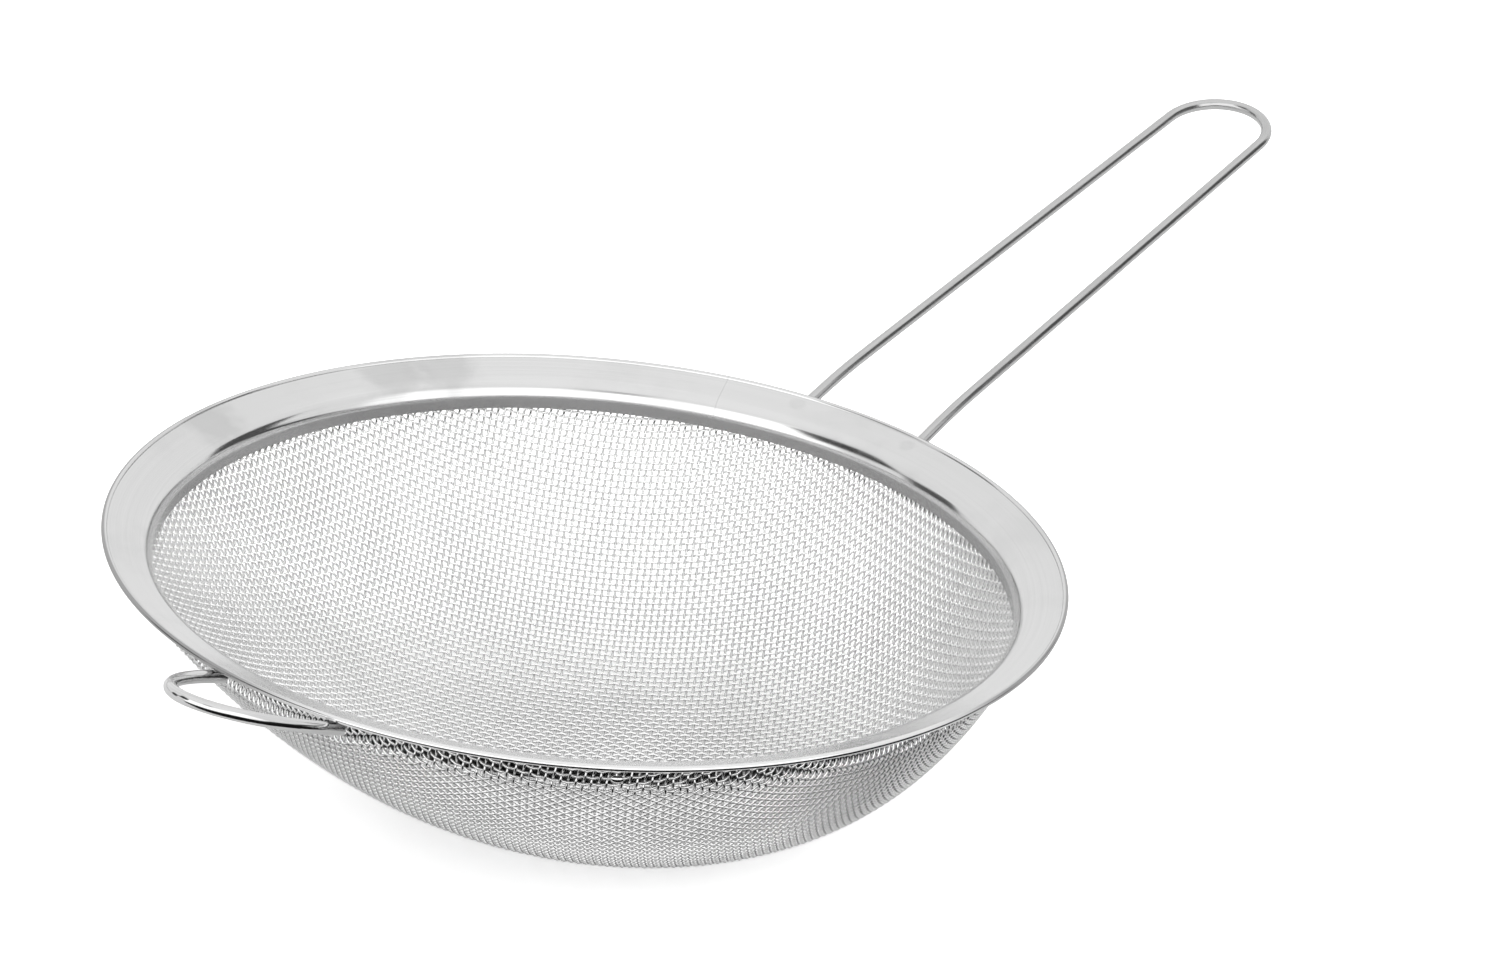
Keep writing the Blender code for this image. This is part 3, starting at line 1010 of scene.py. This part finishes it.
@dataclass
class WovenBowl:
    """The bowl of plain-woven wire, which shears over the bowl's form but doesn't stretch.

    The turns are the directions of the two first wires in the middle of the base, the
    curls how far they turn in each metre, and the growths how fast that changes. The net
    margin is how much larger than the cloth the net of crossings is made.
    """

    rim: PressedRim
    pitch: float = 0.001610
    wire_radius: float = 0.00032
    clearance: float = 0.0005
    corner_depth: float = 0.0102
    top_depth: float = 0.0055
    fullness: float = 3.0
    flat_radius: float = 0.0180
    warp_turn: float = math.radians(31.5)
    weft_turn: float = math.radians(127.3)
    warp_curl: float = -0.663
    weft_curl: float = 0.958
    warp_curl_growth: float = -18.1
    weft_curl_growth: float = 17.4
    margin: float = 0.010
    net_margin: float = 1.08
    solver_rounds: int = 6
    nudge: float = 0.00001
    table_steps: int = 4000
    fewest_points: int = 3
    zones: int = 3

    def __post_init__(self) -> None:
        """Work out the wall's section and its length from the middle of the base."""
        half = 2.0 * self.wire_radius
        self.radius = self.rim.collar_radius + self.rim.sheet / 2 + self.clearance + half
        self.corner_z = self.rim.centre.z - self.corner_depth
        self.top_z = self.rim.centre.z - self.top_depth
        self.base_z = half
        self.radii = np.linspace(0.0, self.radius, self.table_steps + 1)
        power = self.fullness
        risen = np.maximum(0.0, self.radii ** power - self.flat_radius ** power)
        share = risen / (self.radius ** power - self.flat_radius ** power)
        self.heights = self.base_z + (self.corner_z - self.base_z) * share
        steps = np.hypot(np.diff(self.radii), np.diff(self.heights))
        self.lengths = np.concatenate([[0.0], np.cumsum(steps)])
        self.wall_length = float(self.lengths[-1])
        self.limit = self.wall_length + self.top_z - self.corner_z + self.margin

    def on_cloth(self, flat: Array) -> Array:
        """Place points of the flat cloth on the bowl's wall.

        Beyond the wall's top corner the cloth runs straight up round the collar. Each
        level is shifted in step with its height, because the base sits off the rim's axis.

        Args:
            flat: Points of the flat cloth, in their last axis, measured along the cloth.

        Returns:
            The points in space.
        """
        length = np.hypot(flat[..., 0], flat[..., 1])
        radius = np.interp(length, self.lengths, self.radii)
        height = np.interp(length, self.lengths, self.heights)
        height = height + np.maximum(0.0, length - self.wall_length)
        climbed = np.clip((height - self.base_z) / (self.corner_z - self.base_z), 0.0, 1.0)
        out = flat / np.maximum(length, 1e-12)[..., None]
        return np.stack([self.rim.centre.x * climbed + radius * out[..., 0],
                         self.rim.centre.y * climbed + radius * out[..., 1], height], -1)

    def inward(self, flat: Array) -> Array:
        """Return the wall's unit normals, towards the inside of the bowl."""
        here = self.on_cloth(flat)
        along_x = self.on_cloth(flat + [self.nudge, 0.0]) - here
        along_y = self.on_cloth(flat + [0.0, self.nudge]) - here
        normal = np.cross(along_x, along_y)
        return normal / np.linalg.norm(normal, axis=-1, keepdims=True)

    def lay_first_wires(self, net: Array, reach: int) -> None:
        """Lay the two wires that cross in the middle of the base.

        Args:
            net: The crossings, of which the middle row and column are filled in.
            reach: Index of the middle crossing.
        """
        rules = (((1, 0), self.warp_turn, self.warp_curl, self.warp_curl_growth),
                 ((0, 1), self.weft_turn, self.weft_curl, self.weft_curl_growth))
        for (column, row), turn, curl, growth in rules:
            for sign in (-1, 1):
                place = np.zeros(2)
                for step in range(1, reach + 1):
                    arc = sign * (step - 0.5) * self.pitch
                    angle = turn + curl * arc + growth * arc * abs(arc)
                    way = np.array([math.cos(angle), math.sin(angle)]) * sign
                    size = self.pitch
                    for _ in range(self.solver_rounds):
                        moved = self.on_cloth(place + way * size) - self.on_cloth(place)
                        size *= self.pitch / np.linalg.norm(moved)
                    place = place + way * size
                    if np.hypot(*place) > self.limit:
                        break
                    net[reach + sign * step * column, reach + sign * step * row] = place

    def solve(self, guess: Array, beside: Array, below: Array) -> Array:
        """Move guessed crossings until each lies one pitch from both its neighbours.

        Args:
            guess: Flat places to start from.
            beside: Flat places of the neighbours along one wire.
            below: Flat places of the neighbours along the other wire.

        Returns:
            The flat places of the crossings.
        """
        first = self.on_cloth(beside)
        second = self.on_cloth(below)
        for _ in range(self.solver_rounds):
            gaps = []
            for shift in ((0.0, 0.0), (self.nudge, 0.0), (0.0, self.nudge)):
                here = self.on_cloth(guess + shift)
                gaps.append(np.stack([np.linalg.norm(here - first, axis=-1),
                                      np.linalg.norm(here - second, axis=-1)]))
            first_x, second_x = (gaps[1] - gaps[0]) / self.nudge
            first_y, second_y = (gaps[2] - gaps[0]) / self.nudge
            miss_first, miss_second = gaps[0] - self.pitch
            scale = first_x * second_y - first_y * second_x
            guess = guess - np.stack([(second_y * miss_first - first_y * miss_second) / scale,
                                      (first_x * miss_second - second_x * miss_first) / scale], -1)
        return guess

    def crossings(self) -> Array:
        """Return the flat places of all the crossings, NaN where there is none.

        Woven cloth shears but doesn't stretch, so every cell has four sides of one pitch,
        and the two first wires settle all the others.
        """
        reach = math.ceil(self.limit * self.net_margin / self.pitch) + 1
        net = np.full((2 * reach + 1, 2 * reach + 1, 2), np.nan)
        net[reach, reach] = 0.0
        self.lay_first_wires(net, reach)
        for sign_x, sign_y in ((-1, -1), (-1, 1), (1, -1), (1, 1)):
            for diagonal in range(2, 2 * reach + 1):
                right = np.arange(max(1, diagonal - reach), min(reach, diagonal - 1) + 1)
                column = reach + sign_x * right
                row = reach + sign_y * (diagonal - right)
                beside = net[column - sign_x, row]
                below = net[column, row - sign_y]
                guess = beside + below - net[column - sign_x, row - sign_y]
                with np.errstate(invalid="ignore"):
                    known = np.hypot(guess[:, 0], guess[:, 1]) < self.limit
                if known.any():
                    net[column[known], row[known]] = self.solve(
                        guess[known], beside[known], below[known])
        return net

    def woven_run(self, line: Array, sign: Array) -> WovenWire:
        """Lead one wire over and under its crossings, as far as they reach.

        Args:
            line: Flat places of the wire's crossings.
            sign: 1 where the wire passes inside the other wire, -1 where it passes outside.

        Returns:
            The wire, with a point at each crossing and one half way to the next.
        """
        places = self.on_cloth(line)
        inward = self.inward(line)
        run = np.empty((2 * len(line) - 1, 3))
        run[0::2] = places + inward * (sign * self.wire_radius)[:, None]
        run[1::2] = (places[1:] + places[:-1]) / 2
        outward = np.empty_like(run)
        outward[0::2] = -inward
        outward[1::2] = -(inward[1:] + inward[:-1]) / 2
        dives = np.zeros(len(run))
        dives[1::2] = run[1::2, 2] < self.corner_z
        return WovenWire(run, outward, dives)

    def trimmed(self, wire: WovenWire) -> WovenWire | None:
        """Cut a wire level round the collar.

        Args:
            wire: The wire, longer than the bowl needs.

        Returns:
            What is left of the wire, or None if it doesn't cross the bowl.
        """
        run = wire.points
        low = np.flatnonzero(run[:, 2] < self.top_z)
        if len(low) < self.fewest_points or low[0] == 0 or low[-1] == len(run) - 1:
            return None
        ends = []
        for inner, outer in ((low[0], low[0] - 1), (low[-1], low[-1] + 1)):
            share = (self.top_z - run[inner, 2]) / (run[outer, 2] - run[inner, 2])
            ends.append(run[inner] + share * (run[outer] - run[inner]))
        kept = np.concatenate([[low[0]], np.arange(low[0], low[-1] + 1), [low[-1]]])
        points = run[kept]
        points[0], points[-1] = ends
        wire.dives[[low[0], low[-1]]] = 0.0
        return WovenWire(points, wire.outward[kept], wire.dives[kept])

    def wires(self, net: Array, way: Way) -> list[WovenWire]:
        """Lead every wire of one direction over and under its crossings.

        Args:
            net: Flat places of the crossings.
            way: Which wires.

        Returns:
            The wires, trimmed level round the collar.
        """
        lines = net if way is Way.WEFT else net.transpose(1, 0, 2)
        side = 1.0 if way is Way.WARP else -1.0
        made = []
        for index, line in enumerate(lines):
            real = np.flatnonzero(np.isfinite(line[:, 0]))
            if len(real) < self.fewest_points:
                continue
            number = index + np.arange(real[0], real[-1] + 1)
            sign = side * np.where(number % 2 == 0, 1.0, -1.0)
            wire = self.trimmed(self.woven_run(line[real[0]:real[-1] + 1], sign))
            if wire is not None:
                made.append(wire)
        return made

    def build(self, materials: dict[Way, bpy.types.Material]) -> None:
        """Weave the bowl, in a few pieces for each direction so that none grows too large.

        Args:
            materials: The material of each direction's wires.
        """
        net = self.crossings()
        for way in Way:
            wires = self.wires(net, way)
            sizes = np.cumsum([len(wire.points) for wire in wires])
            for zone in range(self.zones):
                low = sizes[-1] * zone / self.zones
                high = sizes[-1] * (zone + 1) / self.zones
                own = [wire for wire, size in zip(wires, sizes) if low < size <= high]
                piece = bent_tube(f"bowl_{way.value}_wires_{zone + 1}",
                                  [wire.points for wire in own], self.wire_radius, 1)
                mark_crevices(piece.data, own, self.wire_radius)
                finish_piece(piece, materials[way], "mesh_bowl")


@dataclass
class Welds:
    """The small flattened nuggets of metal of one kind of spot weld."""

    name: str
    size: Point
    slot: Slot

    def build(self, spots: list[Matrix], material: bpy.types.Material) -> None:
        """Set one nugget at each spot, all as one piece.

        Args:
            spots: The nuggets' places and turns.
            material: Their material.
        """
        shape = bmesh.new()
        form = Matrix.Diagonal((*self.size, 1.0))
        for spot in spots:
            bmesh.ops.create_icosphere(shape, subdivisions=3, radius=1.0, matrix=spot @ form)
        finish_piece(link_shape(self.name, shape), material, None)


CLOTH_WELDS = Welds("cloth_welds", (0.00105, 0.0017, 0.0011), Slot.CLOTH)
SPOT_WELDS = Welds("spot_welds", (0.0011, 0.0011, 0.0005), Slot.WIRE)


class StageGraph(Graph):
    """The graph of one of the studio's own materials."""

    def __init__(self, name: str) -> None:
        """Start the material with an empty graph."""
        self.material = bpy.data.materials.new(name)
        self.material.use_nodes = True
        super().__init__(self.material.node_tree)
        self.tree.nodes.clear()

    def shader(self, kind: str, level: float) -> Socket:
        """Add a shader of a neutral colour and return its output."""
        return self.add("ShaderNode" + kind, {"Color": grey(level)}).outputs[0]

    def mix(self, factor: Socket, first: Socket, second: Socket) -> Socket:
        """Mix a second shader into the first by a factor."""
        return self.add("ShaderNodeMixShader", {0: factor, 1: first, 2: second}).outputs[0]

    def dress(self, piece: bpy.types.Object, surface: Socket) -> None:
        """Finish the material with its surface and give it to a piece of the studio."""
        self.add("ShaderNodeOutputMaterial", {"Surface": surface})
        piece.data.materials.append(self.material)


@dataclass
class SkyPatch:
    """One patch of the studio's surroundings, in degrees from the camera's side.

    Rise tilts the patch: its height above its bottom left corner for each degree.
    """

    left: float
    right: float
    bottom: float
    top: float
    level: float
    soft: float = 6.0
    rise: float = 0.0


@dataclass
class Studio:
    """A white floor, a soft bright room with a few dark places, and the camera.

    Horizon soft, overhead start and overhead full are in degrees of elevation.
    """

    camera_place: Vector
    camera_bearing: float = math.radians(33.974)
    camera_dip: float = math.radians(23.878)
    camera_roll: float = math.radians(-5.883)
    lens: float = 115.2
    sensor: float = 36.0
    floor_size: float = 6.0
    floor_height: float = -0.0002
    floor_edge: Vector = Vector((-0.230, 0.020, 0.0))
    floor_edge_way: Vector = Vector((0.280, -0.201, 0.0))
    floor_level: float = 0.78
    floor_seen_level: float = 1.7
    floor_glow: float = 0.06
    room_level: float = 0.97
    overhead_level: float = 1.08
    below_level: float = 0.01
    seen_level: float = 1.9
    horizon_soft: float = 1.5
    overhead_start: float = 40.0
    overhead_full: float = 68.0
    card_low: Vector = Vector((0.20, -0.12, 0.10))
    card_high: Vector = Vector((0.46, -0.12, 0.27))
    card_level: float = 0.09

    def patches(self) -> list[SkyPatch]:
        """Return the bright and dark places that polished steel shows as reflections."""
        return [
            SkyPatch(left=-64.0, right=66.0, bottom=-3.0, top=44.0, level=1.60, soft=10.0),
            SkyPatch(left=-88.0, right=-57.0, bottom=18.0, top=41.0, level=0.05),
            SkyPatch(left=-14.0, right=9.0, bottom=43.0, top=52.0, level=0.45),
            SkyPatch(left=60.0, right=120.0, bottom=-8.0, top=2.0, level=0.03, rise=0.27),
            SkyPatch(left=-110.0, right=-89.0, bottom=-8.0, top=20.0, level=0.10, soft=4.0),
        ]

    def build_world(self, groups: EffectGroups) -> None:
        """Paint the studio's surroundings on the world.

        Args:
            groups: The shared node groups.
        """
        world = bpy.data.worlds.new("studio")
        bpy.context.scene.world = world
        world.use_nodes = True
        graph = Graph(world.node_tree)
        parts = graph.split(graph.add("ShaderNodeTexCoord").outputs["Generated"])
        cosine, sine = math.cos(self.camera_bearing), math.sin(self.camera_bearing)
        near = graph.weigh((parts[0], -cosine), (parts[1], -sine))
        right = graph.weigh((parts[0], sine), (parts[1], -cosine))
        bearing = graph.math("DEGREES", graph.math("ARCTAN2", right, near))
        elevation = graph.math("DEGREES", graph.math("ARCSINE", parts[2]))
        soft = self.horizon_soft
        ground = graph.span(elevation, -soft, soft, self.below_level, 0.0)
        side = graph.span(elevation, -soft, soft, 0.0, self.room_level)
        overhead = graph.span(elevation, self.overhead_start, self.overhead_full, 0.0,
                              self.overhead_level - self.room_level)
        level = graph.math("ADD", graph.math("ADD", ground, side), overhead)
        for patch in self.patches():
            feeds = {name.capitalize(): value for name, value in asdict(patch).items()
                     if name != "level"}
            mask = graph.use(groups.sky_patch,
                             {**feeds, "Bearing": bearing, "Elevation": elevation})["Mask"]
            change = graph.math("MULTIPLY", graph.math("SUBTRACT", patch.level, level), mask)
            level = graph.math("ADD", level, change)
        seen = graph.add("ShaderNodeLightPath").outputs["Is Camera Ray"]
        hidden = graph.math("MULTIPLY", level, graph.math("SUBTRACT", 1.0, seen))
        level = graph.math("ADD", hidden, graph.math("MULTIPLY", seen, self.seen_level))
        background = world.node_tree.nodes["Background"].inputs
        graph.join(level, background["Color"])
        background["Strength"].default_value = 1.0

    def build_floor(self) -> None:
        """Lay the white floor, a table top that ends just before the picture's lower edge.

        Its colour is set to look white to the eye, with the shadow that the strainer casts
        on it, and white in the steel.
        """
        shape = bmesh.new()
        bmesh.ops.create_grid(shape, x_segments=2, y_segments=2, size=self.floor_size / 2)
        across = self.floor_edge_way.cross(Vector((0.0, 0.0, 1.0)))
        bmesh.ops.bisect_plane(shape, geom=shape.verts[:] + shape.edges[:] + shape.faces[:],
                               plane_co=self.floor_edge, plane_no=across, clear_outer=True)
        floor = link_shape("studio_floor", shape)
        floor.location.z = self.floor_height
        graph = StageGraph("white_floor")
        path = graph.add("ShaderNodeLightPath").outputs
        mirrored = graph.math("MAXIMUM", path["Is Glossy Ray"], path["Is Transmission Ray"])
        matt = graph.shader("BsdfDiffuse", self.floor_level)
        bright = graph.shader("BsdfDiffuse", self.floor_seen_level)
        glow = graph.shader("Emission", self.floor_glow)
        in_steel = graph.add("ShaderNodeAddShader", {0: matt, 1: glow}).outputs[0]
        to_eye = graph.mix(path["Is Camera Ray"], matt, bright)
        graph.dress(floor, graph.mix(mirrored, to_eye, in_steel))

    def build_card(self) -> None:
        """Stand a dark card beside the handle, which only reflections show."""
        shape = bmesh.new()
        size = Matrix.Diagonal((self.card_high.x - self.card_low.x,
                                self.card_high.z - self.card_low.z, 1.0, 1.0))
        upright = Matrix.Rotation(math.pi / 2, 4, "X")
        middle = Matrix.Translation((self.card_low + self.card_high) / 2)
        bmesh.ops.create_grid(shape, x_segments=1, y_segments=1, size=0.5,
                              matrix=middle @ upright @ size)
        card = link_shape("studio_card", shape)
        graph = StageGraph("dark_card")
        mirrored = graph.add("ShaderNodeLightPath").outputs["Is Glossy Ray"]
        clear = graph.shader("BsdfTransparent", 1.0)
        graph.dress(card, graph.mix(mirrored, clear, graph.shader("Emission", self.card_level)))

    def build_camera(self) -> None:
        """Set the camera where the photograph was taken from."""
        ahead = Vector((math.cos(self.camera_bearing) * math.cos(self.camera_dip),
                        math.sin(self.camera_bearing) * math.cos(self.camera_dip),
                        -math.sin(self.camera_dip)))
        level_right = ahead.cross(Vector((0.0, 0.0, 1.0))).normalized()
        level_down = ahead.cross(level_right)
        right = level_right * math.cos(self.camera_roll) + level_down * math.sin(self.camera_roll)
        down = level_down * math.cos(self.camera_roll) - level_right * math.sin(self.camera_roll)
        data = bpy.data.cameras.new("camera")
        data.lens = self.lens
        data.sensor_width = self.sensor
        data.sensor_fit = "HORIZONTAL"
        camera = link_object("camera", data)
        turned = Matrix((right, -down, -ahead)).transposed()
        camera.matrix_world = Matrix.Translation(self.camera_place) @ turned.to_4x4()
        bpy.context.scene.camera = camera


def main() -> None:
    """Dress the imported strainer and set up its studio."""
    logging.basicConfig(level=logging.INFO, format="%(message)s")
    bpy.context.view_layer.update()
    bpy.context.scene.view_settings.view_transform = "Standard"
    groups = EffectGroups.build()
    rim = PressedRim(centre=Vector((-0.0080, 0.0090, 0.0610)))
    bowl = WovenBowl(rim=rim)
    handle = Handle(rim=rim, cloth_radius=bowl.radius)
    hook = RestHook(rim=rim, cloth_radius=bowl.radius)
    welds = handle.weld_places() + hook.weld_places()
    rim.build(SHEET_FINISH.build(groups, rim.centre, welds, rim.rubbed_places()))
    cloth_steels = {Way.WARP: WARP_FINISH.build(groups), Way.WEFT: WEFT_FINISH.build(groups)}
    bowl.build(cloth_steels)
    CLOTH_WELDS.build(rim.cloth_welds(), cloth_steels[Way.WARP])
    wire_steel = HANDLE_FINISH.build(groups)
    handle.build(wire_steel)
    hook.build(HOOK_FINISH.build(groups))
    SPOT_WELDS.build([Matrix.Translation(place) for place in welds], wire_steel)
    studio = Studio(camera_place=Vector((-0.81098, -0.57456, 0.51973)))
    studio.build_world(groups)
    studio.build_floor()
    studio.build_card()
    studio.build_camera()


if __name__ == "__main__":
    main()
